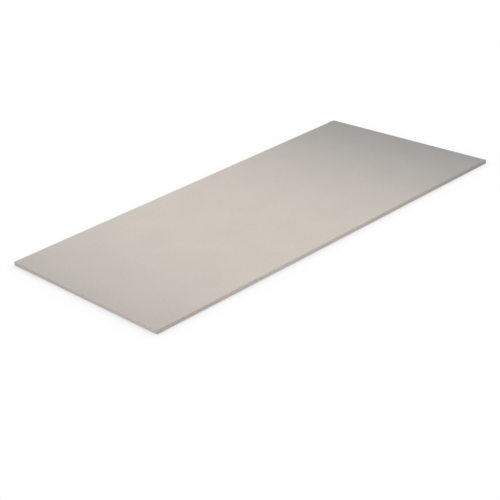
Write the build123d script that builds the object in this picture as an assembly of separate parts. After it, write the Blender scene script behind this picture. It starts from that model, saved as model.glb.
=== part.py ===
from build123d import *
import os

# A ceiling board: one flat rectangular sheet of through-coloured mineral board, sawn square,
# with the arrises around its two faces eased so that they don't crumble.
#
# The origin is the middle of the back face, on which the sheet lies. +X runs along the length,
# +Y across the width, and +Z up through the thickness to the face that the room sees.

# Driving dimensions, in millimetres
LENGTH = 1200.0
WIDTH = 600.0
THICKNESS = 10.0
ARRIS = 0.5  # depth of the 45 degree easing, measured along the face and down the edge


def sawn_sheet():
    """The sheet as it leaves the saw: a square-edged slab with its back on the XY plane."""
    back_on_the_plane = (Align.CENTER, Align.CENTER, Align.MIN)
    return Box(LENGTH, WIDTH, THICKNESS, align=back_on_the_plane)


def eased(sheet):
    """The sheet with the arrises around both faces taken off. Its four upright corners stay sharp."""
    upright_corners = sheet.edges().filter_by(Axis.Z)
    return chamfer(sheet.edges() - upright_corners, ARRIS)


ceiling_board = eased(sawn_sheet())

os.makedirs("parts", exist_ok=True)
export_step(ceiling_board, "parts/ceiling_board.step")
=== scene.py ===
from math import cos, pi, radians, sin

import bpy
import numpy as np
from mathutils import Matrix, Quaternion, Vector


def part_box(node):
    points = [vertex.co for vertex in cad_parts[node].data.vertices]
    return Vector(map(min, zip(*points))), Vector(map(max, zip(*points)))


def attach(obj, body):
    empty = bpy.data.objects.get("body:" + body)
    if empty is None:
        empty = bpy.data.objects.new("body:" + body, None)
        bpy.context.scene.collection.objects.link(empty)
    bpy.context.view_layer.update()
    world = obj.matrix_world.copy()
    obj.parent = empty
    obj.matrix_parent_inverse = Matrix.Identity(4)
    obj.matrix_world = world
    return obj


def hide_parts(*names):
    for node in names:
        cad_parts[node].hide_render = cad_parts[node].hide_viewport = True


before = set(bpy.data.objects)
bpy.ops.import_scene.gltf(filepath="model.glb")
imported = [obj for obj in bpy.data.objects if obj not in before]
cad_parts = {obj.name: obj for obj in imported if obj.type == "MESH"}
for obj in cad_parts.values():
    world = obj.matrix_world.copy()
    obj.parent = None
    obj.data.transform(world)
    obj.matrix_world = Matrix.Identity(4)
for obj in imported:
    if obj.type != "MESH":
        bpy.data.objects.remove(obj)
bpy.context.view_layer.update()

# The board: one sheet of fibre-reinforced calcium silicate, laid up wet in thin films on a felt, pressed,
# steam-cured and sawn square. The room face is sanded, the back keeps the felt's mark, and the arrises
# around both faces are eased by hand. It lies loose on the floor.

low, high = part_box("ceiling_board")
LENGTH, WIDTH, THICKNESS = high - low
ARRIS = 0.0005  # how far an eased arris reaches over the face and down the edge
ARRIS_FACETS = 3
CELL = 0.01  # spacing of the mesh over the faces and along the edge
EDGE_ROWS = 8  # rows of cells down the sawn edge, between the arrises
SHARP_ANGLE = radians(10)  # the arris facets meet at more than this, so each keeps its own flat shade

SANDER_SWELL, SANDER_WAVES = 0.00005, (0.08, 0.4)  # the sander's waves: depth, shortest and longest
FELT_SWELL, FELT_WAVES = 0.00015, (0.05, 0.25)  # the same for the back's unevenness
SAW_WANDER, SAW_WAVES = 0.00012, (0.04, 0.2)  # the same for the saw's wander in and out of the edge
FILM_STEP = 0.00005  # how unevenly the pressed films part at the cut

seeded = np.random.default_rng(seed=1200)


def swell(points, lengths, waves=24):
    """A smooth random height from 0 to 1 at each point: a sum of sine waves, whose directions, phases and
    lengths between the two given are drawn at random, moved and scaled into that range."""
    direction = seeded.normal(size=(waves, 3))
    direction /= np.linalg.norm(direction, axis=1, keepdims=True)
    turns_per_metre = direction / seeded.uniform(*lengths, (waves, 1))
    phase = seeded.uniform(0, 2 * pi, waves)
    height = np.sin(2 * pi * points @ turns_per_metre.T + phase).sum(-1)
    return (height - height.min()) / np.ptp(height)


def flat_face(z):
    """The points of a face inside its arrises: an even grid over x and y, all at height z."""
    x = np.linspace(low.x + ARRIS, high.x - ARRIS, round(LENGTH / CELL) + 1)
    y = np.linspace(low.y + ARRIS, high.y - ARRIS, round(WIDTH / CELL) + 1)
    return np.stack(np.meshgrid(x, y, [z], indexing="ij"), -1)[:, :, 0]


def border(table):
    """The outermost entries of a table over x and y, once around, anticlockwise as seen from above."""
    return np.concatenate([table[:-1, 0], table[-1, :-1], table[:0:-1, -1], table[0, :0:-1]])


def cells(table):
    """The four corners of each cell of a table: entry, next row, next row and column, next column."""
    return np.stack([table[:-1, :-1], table[1:, :-1], table[1:, 1:], table[:-1, 1:]], 2).reshape(-1, 4)


def edge_profile():
    """The edge's section as two lists, out from the face's border and down from the face: a quarter round
    for the upper arris, a straight run for the cut, and the same quarter round mirrored below."""
    turn = np.linspace(0, pi / 2, ARRIS_FACETS + 1)[1:]
    out, down = ARRIS * np.sin(turn), ARRIS * (1 - np.cos(turn))
    cut = np.linspace(ARRIS, THICKNESS - ARRIS, EDGE_ROWS + 1)[1:-1]
    return (
        np.concatenate([out, np.full(len(cut), ARRIS), out[::-1]]),
        np.concatenate([down, cut, THICKNESS - down[::-1]]),
    )


def sawn_edge(face_border):
    """The edge's section carried around the face's border. Each point lies down by the section's second
    list, and out by its first, less the saw's wander and the film's step there, which fade over the
    arrises. Outward is a step of 1 along each axis in which the point is at the sheet's limit."""
    out, down = edge_profile()
    offset = face_border[:, :2] - np.array((low + high) / 2)[:2]
    reach = np.array([LENGTH, WIDTH]) / 2 - ARRIS
    outward = np.sign(offset) * (np.abs(offset) > reach - CELL / 2)
    points = np.empty((len(out), len(face_border), 3))
    points[..., :2] = face_border[:, :2] + outward * out[:, None, None]
    points[..., 2] = high.z - down[:, None]
    depth = SAW_WANDER * swell(points, SAW_WAVES)
    depth += FILM_STEP * seeded.uniform(0, 1, len(out))[:, None]
    points[..., :2] -= outward * (depth * out[:, None] / ARRIS)[..., None]
    return points


room_face = flat_face(high.z)
room_face[..., 2] -= SANDER_SWELL * swell(room_face, SANDER_WAVES)
back_face = flat_face(low.z)
back_face[..., 2] += FELT_SWELL * swell(back_face, FELT_WAVES)
edge = sawn_edge(border(room_face))

# The points are numbered from the room face through the back to the edge. The band of numbers runs from
# the room face's border down the edge to the back's border, and ends on the column that it starts with.
room_numbers = np.arange(room_face[..., 0].size).reshape(room_face.shape[:2])
back_numbers = room_numbers + room_numbers.size
edge_numbers = 2 * room_numbers.size + np.arange(edge[..., 0].size).reshape(edge.shape[:2])
band = np.vstack([border(room_numbers), edge_numbers, border(back_numbers)])
band = np.hstack([band, band[:, :1]])

vertices = np.vstack([part.reshape(-1, 3) for part in (room_face, back_face, edge)])
surfaces = [cells(room_numbers), cells(band), cells(back_numbers)[:, ::-1]]
finish_of_face = np.repeat(range(len(surfaces)), [len(surface) for surface in surfaces])
faces = np.vstack(surfaces)

board_mesh = bpy.data.meshes.new("finished_board")
board_mesh.from_pydata(vertices.tolist(), [], faces.tolist())
board_mesh.polygons.foreach_set("material_index", finish_of_face)
board_mesh.polygons.foreach_set("use_smooth", np.ones(len(faces), bool))
board_mesh.set_sharp_from_angle(angle=SHARP_ANGLE)

# Sanded calcium silicate, for the room face: a warm beige-grey mineral skin, dead matt and even, with
# faint clouds from the lay-up, the sander's streaks along the length, short bent cellulose fibres and a
# pore here and there, sunk in relief and darkened with painted shade.

SILICATE_IOR = 1.5
OCTAVES = 3.0  # how many times each noise adds detail of half the size
SKIN_DARK, SKIN_PALE = "#cac2b9", "#d4ccc3"
CLOUD_MM = 110
STREAK_MM = (120, 8, 8)  # the grit's own scratches are too fine to show
STREAK_SHARE = 0.25  # weight of the streaks, where the clouds and the grain have 1
GRAIN_MM = 3  # drawn coarser than the sand and lime, which are under half a millimetre
SKIN_RANGE = (0.625, 1.625)  # cloud, streak and grain added up, from the darkest skin to the palest
FIBRE_CELL_MM = (28, 6)  # holds one fibre of a fifth its size, drawn wider than the hair that it is
FIBRE_CORE, FIBRE_RIM, FIBRE_SHOWS = 0.02, 0.11, 0.8  # shares of its cell, and how far it covers the skin
PALE_FIBRE, DARK_FIBRE = "#dfd7cf", "#bdb4a9"
FIBRES = {8: PALE_FIBRE, 47: DARK_FIBRE, 79: PALE_FIBRE, 118: DARK_FIBRE, 155: PALE_FIBRE}  # by degrees
BEND_MM, BEND_DEPTH = 16, 0.006  # length of a fibre's bend, and its full sway in metres
# painted shade: the dark tone inside each pore stands in for the shade that falls into it
PORE_PAINTED_SHADE = "#b0a69b"
PORE_CELL_MM = 16
LARGEST_PORE, PORE_RIM = 0.055, 0.02  # shares of its cell
PORE_CHANCE = (0.4, 0.9)  # the cell's lot, from no pore to the largest
SANDED_RELIEF = 0.00005
SANDED_ROUGHNESS = (0.72, 0.88)


def linear(hex_colour):
    """An sRGB colour such as "#d0c7be" as the linear red, green, blue and alpha that a shader takes."""
    srgb = np.array([int(hex_colour[i:i + 2], 16) for i in (1, 3, 5)]) / 255
    rgb = np.where(srgb <= 0.04045, srgb / 12.92, ((srgb + 0.055) / 1.055) ** 2.4)
    return (*rgb.tolist(), 1.0)


def per_metre(size_mm):
    """How many times a pattern of that size in millimetres repeats in a metre."""
    return 1000 / size_mm


def metres(*sizes_mm):
    """Sizes in millimetres as metres, to which a Mapping node stretches a pattern of one unit."""
    return tuple(size / 1000 for size in sizes_mm)


def empty_tree(block):
    """The node tree of a material or a world, switched on and cleared."""
    block.use_nodes = True
    block.node_tree.nodes.clear()
    return block.node_tree


def add_node(tree, kind, inputs, **settings):
    """Adds a node of that kind with those settings. An input that is given a socket is linked to it, and
    an input that is given a value holds it."""
    node = tree.nodes.new("ShaderNode" + kind)
    for name, value in settings.items():
        setattr(node, name, value)
    for name, value in inputs.items():
        if isinstance(value, bpy.types.NodeSocket):
            tree.links.new(value, node.inputs[name])
        else:
            node.inputs[name].default_value = value
    return node


def dull_mineral(tree, tone, height, relief, wear, roughness):
    """Ends a finish: the tone on a dull mineral, with the height as relief of that depth in metres. As
    wear goes from 0 to 1, it goes from the first roughness to the second."""
    bump = add_node(tree, "Bump", {"Height": height, "Distance": relief})
    dullness = add_node(tree, "MapRange", {"Value": wear, "To Min": roughness[0], "To Max": roughness[1]})
    shader = add_node(tree, "BsdfPrincipled", {
        "Base Color": tone, "Roughness": dullness.outputs[0], "IOR": SILICATE_IOR,
        "Normal": bump.outputs[0]})
    add_node(tree, "OutputMaterial", {"Surface": shader.outputs["BSDF"]})


def laid_fibres(tree, place, tone):
    """The tone with fibres laid over it. A slow noise bends the places, and for each angle a cell pattern
    that is stretched along it holds a fibre in every cell, which fades from core to rim and by chance."""
    sway = add_node(tree, "TexNoise", {"Vector": place, "Scale": per_metre(BEND_MM), "Detail": 0.0})
    bent = add_node(tree, "VectorMath", {
        0: sway.outputs["Color"], 1: (BEND_DEPTH, BEND_DEPTH, 0.0), 2: place}, operation="MULTIPLY_ADD")
    for angle, colour in FIBRES.items():
        laid = add_node(tree, "Mapping", {
            "Vector": bent.outputs[0], "Rotation": (0.0, 0.0, radians(angle)),
            "Scale": (*metres(*FIBRE_CELL_MM), 1.0)}, vector_type="TEXTURE")
        cell = add_node(tree, "TexVoronoi", {
            "Vector": laid.outputs[0], "Scale": 1.0}, voronoi_dimensions="2D")
        fibre = add_node(tree, "MapRange", {
            "Value": cell.outputs["Distance"], "From Min": FIBRE_CORE, "From Max": FIBRE_RIM,
            "To Min": FIBRE_SHOWS, "To Max": 0.0})
        shown = add_node(tree, "Math", {
            0: fibre.outputs[0], 1: cell.outputs["Color"]}, operation="MULTIPLY")
        tone = add_node(tree, "MixRGB", {
            "Fac": shown.outputs[0], "Color1": tone, "Color2": linear(colour)}).outputs["Color"]
    return tone


def open_pores(tree, place):
    """1 inside a pore and 0 outside: a cell pattern holds a round pore in each cell that drew a lot high
    enough, and the lot sets how large it is."""
    spot = add_node(tree, "TexVoronoi", {
        "Vector": place, "Scale": per_metre(PORE_CELL_MM)}, voronoi_dimensions="2D")
    reach = add_node(tree, "MapRange", {
        "Value": spot.outputs["Color"], "From Min": PORE_CHANCE[0], "From Max": PORE_CHANCE[1],
        "To Max": LARGEST_PORE})
    inside = add_node(tree, "Math", {
        0: reach.outputs[0], 1: spot.outputs["Distance"]}, operation="SUBTRACT")
    return add_node(tree, "MapRange", {"Value": inside.outputs[0], "From Max": PORE_RIM}).outputs[0]


def sanded_calcium_silicate():
    """Clouds, streaks and grain are added up to a skin between its dark and pale tones, with fibres laid
    over it and pores sunk into it, which are darkened with painted shade."""
    material = bpy.data.materials.new("sanded_calcium_silicate")
    tree = empty_tree(material)
    place = add_node(tree, "TexCoord", {}).outputs["Object"]
    cloud = add_node(tree, "TexNoise", {"Vector": place, "Scale": per_metre(CLOUD_MM), "Detail": OCTAVES})
    combed = add_node(tree, "Mapping", {
        "Vector": place, "Scale": metres(*STREAK_MM)}, vector_type="TEXTURE")
    streak = add_node(tree, "TexNoise", {"Vector": combed.outputs[0], "Scale": 1.0, "Detail": OCTAVES})
    grain = add_node(tree, "TexNoise", {"Vector": place, "Scale": per_metre(GRAIN_MM), "Detail": OCTAVES})
    sanded = add_node(tree, "Math", {
        0: streak.outputs["Fac"], 1: STREAK_SHARE, 2: cloud.outputs["Fac"]}, operation="MULTIPLY_ADD")
    skin = add_node(tree, "Math", {0: sanded.outputs[0], 1: grain.outputs["Fac"]}, operation="ADD")
    shade = add_node(tree, "MapRange", {
        "Value": skin.outputs[0], "From Min": SKIN_RANGE[0], "From Max": SKIN_RANGE[1]})
    tone = add_node(tree, "MixRGB", {
        "Fac": shade.outputs[0], "Color1": linear(SKIN_DARK),
        "Color2": linear(SKIN_PALE)}).outputs["Color"]
    tone = laid_fibres(tree, place, tone)
    pore = open_pores(tree, place)
    # painted shade inside the pores
    tone = add_node(tree, "MixRGB", {
        "Fac": pore, "Color1": tone, "Color2": linear(PORE_PAINTED_SHADE)}).outputs["Color"]
    height = add_node(tree, "Math", {0: skin.outputs[0], 1: pore}, operation="SUBTRACT")
    dull_mineral(tree, tone, height.outputs[0], SANDED_RELIEF, grain.outputs["Fac"], SANDED_ROUGHNESS)
    return material


# Sawn calcium silicate, for the edge: the same board cut through, about as pale as its skin but a touch
# warmer, and rougher. The pressed films show as faint lines along the edge, and the saw's teeth as faint
# scores across it.

FILM_DARK, FILM_PALE = "#b4a89e", "#e4dbd2"
FILM_MM = (90, 90, 1.6)  # several films drawn as one, because each is about a third of a millimetre
SAW_SCORE = "#c1b5ab"
SCORE_MM = (5, 5, 60)  # drawn wider than the saw's own feed
SCORE_RANGE = (0.52, 0.8)  # only the deeper scores show
SAWN_RELIEF = 0.00005
SAWN_ROUGHNESS = (0.82, 0.96)


def sawn_calcium_silicate():
    """Film lines run level along the edge, and the deeper saw scores run upright across it, both in tone
    and in relief."""
    material = bpy.data.materials.new("sawn_calcium_silicate")
    tree = empty_tree(material)
    place = add_node(tree, "TexCoord", {}).outputs["Object"]
    layered = add_node(tree, "Mapping", {
        "Vector": place, "Scale": metres(*FILM_MM)}, vector_type="TEXTURE")
    film = add_node(tree, "TexNoise", {"Vector": layered.outputs[0], "Scale": 1.0, "Detail": OCTAVES})
    tone = add_node(tree, "MixRGB", {
        "Fac": film.outputs["Fac"], "Color1": linear(FILM_DARK),
        "Color2": linear(FILM_PALE)}).outputs["Color"]
    upright = add_node(tree, "Mapping", {
        "Vector": place, "Scale": metres(*SCORE_MM)}, vector_type="TEXTURE")
    saw = add_node(tree, "TexNoise", {"Vector": upright.outputs[0], "Scale": 1.0, "Detail": OCTAVES})
    score = add_node(tree, "MapRange", {
        "Value": saw.outputs["Fac"], "From Min": SCORE_RANGE[0], "From Max": SCORE_RANGE[1]})
    tone = add_node(tree, "MixRGB", {
        "Fac": score.outputs[0], "Color1": tone, "Color2": linear(SAW_SCORE)}).outputs["Color"]
    height = add_node(tree, "Math", {
        0: film.outputs["Fac"], 1: score.outputs[0]}, operation="SUBTRACT")
    dull_mineral(tree, tone, height.outputs[0], SAWN_RELIEF, film.outputs["Fac"], SAWN_ROUGHNESS)
    return material


# Felt-marked calcium silicate, for the back: it is left unsanded, a shade greyer and blotchier than the
# room face, with the plain weave of the forming felt pressed into it.

BACK_DARK, BACK_PALE, BACK_HIGH = "#b9b2aa", "#d2cac1", "#cdc6bd"
BLOTCH_MM = 70
FELT_REPEAT_MM = 6  # from one thread to the next but one, drawn coarser than the felt's own
BANDS_PER_UNIT = 20 / (2 * pi)  # how many bands a wave texture of scale 1 draws in a unit
FELT_STRAY = 1.5  # how far the threads stray from straight
FELT_RELIEF = 0.00012
FELT_ROUGHNESS = (0.94, 0.84)


def felt_marked_calcium_silicate():
    """Blotches set the tone. Two sets of soft waves from -1 to 1, along and across, are multiplied and
    moved to 0 to 1, so that dents and bumps take turns as the threads of a plain weave do."""
    material = bpy.data.materials.new("felt_marked_calcium_silicate")
    tree = empty_tree(material)
    place = add_node(tree, "TexCoord", {}).outputs["Object"]
    blotch = add_node(tree, "TexNoise", {
        "Vector": place, "Scale": per_metre(BLOTCH_MM), "Detail": OCTAVES})
    tone = add_node(tree, "MixRGB", {
        "Fac": blotch.outputs["Fac"], "Color1": linear(BACK_DARK),
        "Color2": linear(BACK_PALE)}).outputs["Color"]
    threads = []
    for axis in ("X", "Y"):
        wave = add_node(tree, "TexWave", {
            "Vector": place, "Scale": per_metre(FELT_REPEAT_MM) / BANDS_PER_UNIT,
            "Distortion": FELT_STRAY}, bands_direction=axis)
        thread = add_node(tree, "MapRange", {"Value": wave.outputs["Fac"], "To Min": -1.0})
        threads.append(thread.outputs[0])
    crossed = add_node(tree, "Math", dict(enumerate(threads)), operation="MULTIPLY")
    weave = add_node(tree, "MapRange", {"Value": crossed.outputs[0], "From Min": -1.0}).outputs[0]
    tone = add_node(tree, "MixRGB", {
        "Fac": weave, "Color1": tone, "Color2": linear(BACK_HIGH)}).outputs["Color"]
    dull_mineral(tree, tone, weave, FELT_RELIEF, weave, FELT_ROUGHNESS)
    return material


for finish in (sanded_calcium_silicate, sawn_calcium_silicate, felt_marked_calcium_silicate):
    board_mesh.materials.append(finish())

board = bpy.data.objects.new("finished_board", board_mesh)
bpy.context.scene.collection.objects.link(board)
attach(board, "root")
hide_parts("ceiling_board")

# The floor: a wide white studio floor that meets a white surround. To the camera it is plain white, apart
# from the shadow that gathers where the board meets it, and to the lamps it is a matt white surface.

FLOOR_REACH = 40.0
SHADOW_REACH = 0.15  # how far out from the board its shade spreads
SHADOW_DEPTH = 0.65  # how much of the white the deepest shade takes away
SHADOW_SAMPLES = 8
WHITE, PAINT = "#ffffff", "#ebebeb"

floor_mesh = bpy.data.meshes.new("studio_floor")
corners = FLOOR_REACH * np.array([[-1, -1], [1, -1], [1, 1], [-1, 1]])
floor_mesh.from_pydata([(*corner, low.z) for corner in corners.tolist()], [], [(0, 1, 2, 3)])
floor = bpy.data.objects.new("studio_floor", floor_mesh)
bpy.context.scene.collection.objects.link(floor)


def seen_directly(tree):
    """1 for a ray from the camera, or one that a mirror or glass passes on, and 0 for one that lights."""
    path = add_node(tree, "LightPath", {})
    mirrored = add_node(tree, "Math", {
        0: path.outputs["Is Camera Ray"], 1: path.outputs["Is Glossy Ray"]}, operation="MAXIMUM")
    return add_node(tree, "Math", {
        0: mirrored.outputs[0], 1: path.outputs["Is Transmission Ray"]}, operation="MAXIMUM").outputs[0]


def white_studio_paint():
    """Matt white floor paint. It is shown as a white that loses up to the shadow's depth where the board
    hides the open room above the floor, and it is lit as plain paint."""
    material = bpy.data.materials.new("white_studio_paint")
    tree = empty_tree(material)
    room = add_node(tree, "AmbientOcclusion", {"Distance": SHADOW_REACH}, samples=SHADOW_SAMPLES)
    shade = add_node(tree, "MapRange", {"Value": room.outputs["AO"], "To Min": 1 - SHADOW_DEPTH})
    shown = add_node(tree, "Emission", {"Color": linear(WHITE), "Strength": shade.outputs[0]})
    lit = add_node(tree, "BsdfDiffuse", {"Color": linear(PAINT)})
    both = add_node(tree, "MixShader", {0: seen_directly(tree), 1: lit.outputs[0], 2: shown.outputs[0]})
    add_node(tree, "OutputMaterial", {"Surface": both.outputs[0]})
    return material


floor_mesh.materials.append(white_studio_paint())

# The light: a long softbox hung level across the board, so that the face is brightest under it and falls
# off towards both ends, a weak lamp beyond each end for the sawn edges, and an even cool fill all round.

LAMP_COLOUR, FILL_COLOUR = "#fff5e9", "#c5e3ff"
SOFTBOX_ABOVE = 0.5  # height of the softbox over the room face
SOFTBOX_ALONG = -0.10  # its middle, along the board
SOFTBOX_SIZE, SOFTBOX_WATTS = (1.08, 3.2), 10.5
LAMP_BEYOND = 2.0  # how far past the board's ends the two weak lamps hang
NEAR_LAMP_ASIDE = -0.8  # off the middle, so that it lights both edges that meet at the near corner
NEAR_LAMP_HEIGHT, NEAR_LAMP_SIZE, NEAR_LAMP_WATTS = 0.55, (1.2, 0.8), 21.3
FAR_LAMP_HEIGHT, FAR_LAMP_SIZE, FAR_LAMP_WATTS = 0.06, (1.2, 0.1), 18.6
FILL_STRENGTH = 0.316


def hang_lamp(name, size, watts, place, lit_point):
    """A soft rectangular lamp at that place, turned to the point that it lights, unseen by the camera."""
    lamp = bpy.data.lights.new(name, "AREA")
    lamp.shape = "RECTANGLE"
    lamp.size, lamp.size_y = size
    lamp.energy = watts
    lamp.color = linear(LAMP_COLOUR)[:3]
    hung = bpy.data.objects.new(name, lamp)
    hung.location = place
    hung.rotation_mode = "QUATERNION"
    hung.rotation_quaternion = (Vector(lit_point) - hung.location).to_track_quat("-Z", "Y")
    hung.visible_camera = False
    bpy.context.scene.collection.objects.link(hung)


hang_lamp(
    "softbox", SOFTBOX_SIZE, SOFTBOX_WATTS,
    (SOFTBOX_ALONG, 0.0, high.z + SOFTBOX_ABOVE), (SOFTBOX_ALONG, 0.0, high.z))
hang_lamp(
    "near_lamp", NEAR_LAMP_SIZE, NEAR_LAMP_WATTS,
    (low.x - LAMP_BEYOND, NEAR_LAMP_ASIDE, NEAR_LAMP_HEIGHT), (low.x, 0.0, high.z))
hang_lamp(
    "far_lamp", FAR_LAMP_SIZE, FAR_LAMP_WATTS,
    (high.x + LAMP_BEYOND, 0.0, FAR_LAMP_HEIGHT), (high.x, 0.0, high.z))

surround = bpy.data.worlds.new("white_surround")
tree = empty_tree(surround)
fill = add_node(tree, "Background", {"Color": linear(FILL_COLOUR), "Strength": FILL_STRENGTH})
white = add_node(tree, "Background", {"Color": linear(WHITE), "Strength": 1.0})
both = add_node(tree, "MixShader", {0: seen_directly(tree), 1: fill.outputs[0], 2: white.outputs[0]})
add_node(tree, "OutputWorld", {"Surface": both.outputs[0]})
bpy.context.scene.world = surround

# The camera: a long lens that looks down over the board's near corner, where x and y are lowest, and that
# leans a little to one side.

LENS_MM, SENSOR_MM = 92.63, 36.0
AZIMUTH, ELEVATION, ROLL = radians(-39.46), radians(25.71), radians(-6.88)
DISTANCE = 3.4971
SIDEWAYS, UPWARDS = -0.0247, -0.1118  # off the line that looks at the middle of the room face

to_camera = Vector((sin(AZIMUTH) * cos(ELEVATION), -cos(AZIMUTH) * cos(ELEVATION), sin(ELEVATION)))
turned = (-to_camera).to_track_quat("-Z", "Y") @ Quaternion((0, 0, 1), ROLL)
face_middle = Vector(((low.x + high.x) / 2, (low.y + high.y) / 2, high.z))
camera_data = bpy.data.cameras.new("camera")
camera_data.lens = LENS_MM
camera_data.sensor_width = SENSOR_MM
camera = bpy.data.objects.new("camera", camera_data)
camera.rotation_mode = "QUATERNION"
camera.rotation_quaternion = turned
camera.location = face_middle + turned @ Vector((SIDEWAYS, UPWARDS, DISTANCE))
bpy.context.scene.collection.objects.link(camera)
bpy.context.scene.camera = camera

bpy.context.scene.view_settings.view_transform = "Standard"
